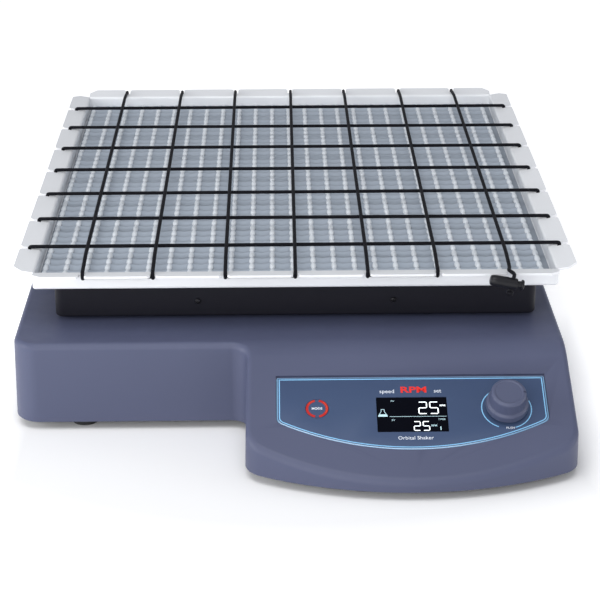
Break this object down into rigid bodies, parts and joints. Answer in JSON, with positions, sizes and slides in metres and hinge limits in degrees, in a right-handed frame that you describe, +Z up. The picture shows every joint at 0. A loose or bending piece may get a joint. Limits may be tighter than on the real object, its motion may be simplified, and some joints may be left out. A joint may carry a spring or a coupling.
{
  "type": "orbital shaker",
  "caption": "Bench-top orbital platform shaker: cord-laced tray on an orbiting sub-frame over an L-shaped moulded housing with a sloped control panel.",
  "frame": {"origin": "centre of the bounding box's base, on the bench under the feet", "axes": "+Z up, +X to the right of a person facing the control panel, +Y away from that person"},
  "size_m": [0.4164, 0.6044, 0.121],
  "materials": {
    "housing": "satin blue-grey moulded plastic",
    "panel": "gloss blue overlay",
    "display": "clear-fronted dark display",
    "knob": "satin blue-grey plastic",
    "black_plastic": "black plastic",
    "rocker": "red plastic",
    "board": "circuit board",
    "black_steel": "black powder coat",
    "white_steel": "white powder coat",
    "mat": "translucent grey-white silicone",
    "rubber": "black rubber",
    "steel": "bright steel",
    "alloy": "machined alloy"
  },
  "bodies": {
    "base": {"top_housing": "housing", "base_plate": "black_steel", "foot_1": "rubber", "foot_2": "rubber", "foot_3": "rubber", "foot_4": "rubber", "foot_5": "rubber", "chassis_plate": "steel", "main_bearing_housing": "alloy", "idler_bearing_housing_1": "alloy", "idler_bearing_housing_2": "alloy", "idler_bearing_housing_3": "alloy", "idler_bearing_housing_4": "alloy", "motor_bracket": "steel", "motor_body": "alloy", "drive_belt": "rubber", "control_board": "board", "display_module": "black_plastic", "display_window": "display", "panel_overlay": "panel", "encoder_body": "black_plastic", "mode_switch_body": "black_plastic", "power_supply": "steel", "power_inlet": "black_plastic", "rocker_frame": "black_plastic"},
    "drive_crank": {"main_shaft": "steel", "large_pulley": "alloy", "counterweight": "steel"},
    "platform": {"platform_subframe": "black_steel", "carrier_plate": "alloy", "hub_bearing_block": "alloy", "idler_bearing_block_1": "alloy", "idler_bearing_block_2": "alloy", "idler_bearing_block_3": "alloy", "idler_bearing_block_4": "alloy", "skirt_screw_1": "steel", "skirt_screw_2": "steel", "skirt_screw_3": "steel", "skirt_screw_4": "steel", "tray": "white_steel", "tray_screw_1": "steel", "tray_screw_2": "steel", "tray_screw_3": "steel", "tray_screw_4": "steel", "mat": "mat", "elastic_cord_lengthwise": "rubber", "elastic_cord_crosswise": "rubber", "cord_lock_body": "black_plastic"},
    "idler_1": {"idler_crank_1": "steel"},
    "idler_2": {"idler_crank_2": "steel"},
    "idler_3": {"idler_crank_3": "steel"},
    "idler_4": {"idler_crank_4": "steel"},
    "motor_rotor": {"motor_shaft": "steel", "motor_pulley": "alloy"},
    "encoder_shaft": {"encoder_plunger": "black_plastic"},
    "control_knob": {"knob": "knob"},
    "mode_key": {"mode_button": "panel"},
    "power_switch": {"power_rocker": "rocker"},
    "lock_button": {"cord_lock_button": "black_plastic"}
  },
  "joints": [
    {"name": "drive_spin", "type": "hinge", "parent": "base", "child": "drive_crank", "pos_m": [-0.006, 0.055, 0.069], "axis": [0, 0, 1], "continuous": true},
    {"name": "platform_orbit", "type": "hinge", "parent": "drive_crank", "child": "platform", "pos_m": [0, 0.063, 0.087], "axis": [0, 0, 1], "continuous": true},
    {"name": "idler_1_spin", "type": "hinge", "parent": "base", "child": "idler_1", "pos_m": [-0.138, -0.105, 0.069], "axis": [0, 0, 1], "continuous": true},
    {"name": "idler_2_spin", "type": "hinge", "parent": "base", "child": "idler_2", "pos_m": [0.126, -0.105, 0.069], "axis": [0, 0, 1], "continuous": true},
    {"name": "idler_3_spin", "type": "hinge", "parent": "base", "child": "idler_3", "pos_m": [0.126, 0.215, 0.069], "axis": [0, 0, 1], "continuous": true},
    {"name": "idler_4_spin", "type": "hinge", "parent": "base", "child": "idler_4", "pos_m": [-0.138, 0.215, 0.069], "axis": [0, 0, 1], "continuous": true},
    {"name": "motor_spin", "type": "hinge", "parent": "base", "child": "motor_rotor", "pos_m": [0.092, -0.029, 0.048], "axis": [0, 0, 1], "continuous": true},
    {"name": "knob_push", "type": "slide", "parent": "base", "child": "encoder_shaft", "axis": [0, 0.4384, -0.8988], "range_m": [0, 0.0012], "stiffness_N_per_m": 2500},
    {"name": "knob_turn", "type": "hinge", "parent": "encoder_shaft", "child": "control_knob", "pos_m": [0.1475, -0.24861, 0.0498], "axis": [0, -0.4384, 0.8988], "continuous": true},
    {"name": "mode_push", "type": "slide", "parent": "base", "child": "mode_key", "axis": [0, 0.4384, -0.8988], "range_m": [0, 0.0005], "stiffness_N_per_m": 4000},
    {"name": "power_rock", "type": "hinge", "parent": "base", "child": "power_switch", "pos_m": [0.084, 0.299, 0.038], "axis": [0, 0, 1], "range_deg": [-14, 0]},
    {"name": "lock_push", "type": "slide", "parent": "platform", "child": "lock_button", "axis": [-0.9816, 0, 0.1908], "range_m": [0, 0.003], "stiffness_N_per_m": 900}
  ],
  "couplings": [
    {"joint": "platform_orbit", "follows": "drive_spin", "ratio": -1},
    {"joint": "idler_1_spin", "follows": "drive_spin", "ratio": 1},
    {"joint": "idler_2_spin", "follows": "drive_spin", "ratio": 1},
    {"joint": "idler_3_spin", "follows": "drive_spin", "ratio": 1},
    {"joint": "idler_4_spin", "follows": "drive_spin", "ratio": 1},
    {"joint": "motor_spin", "follows": "drive_spin", "ratio": 5}
  ]
}
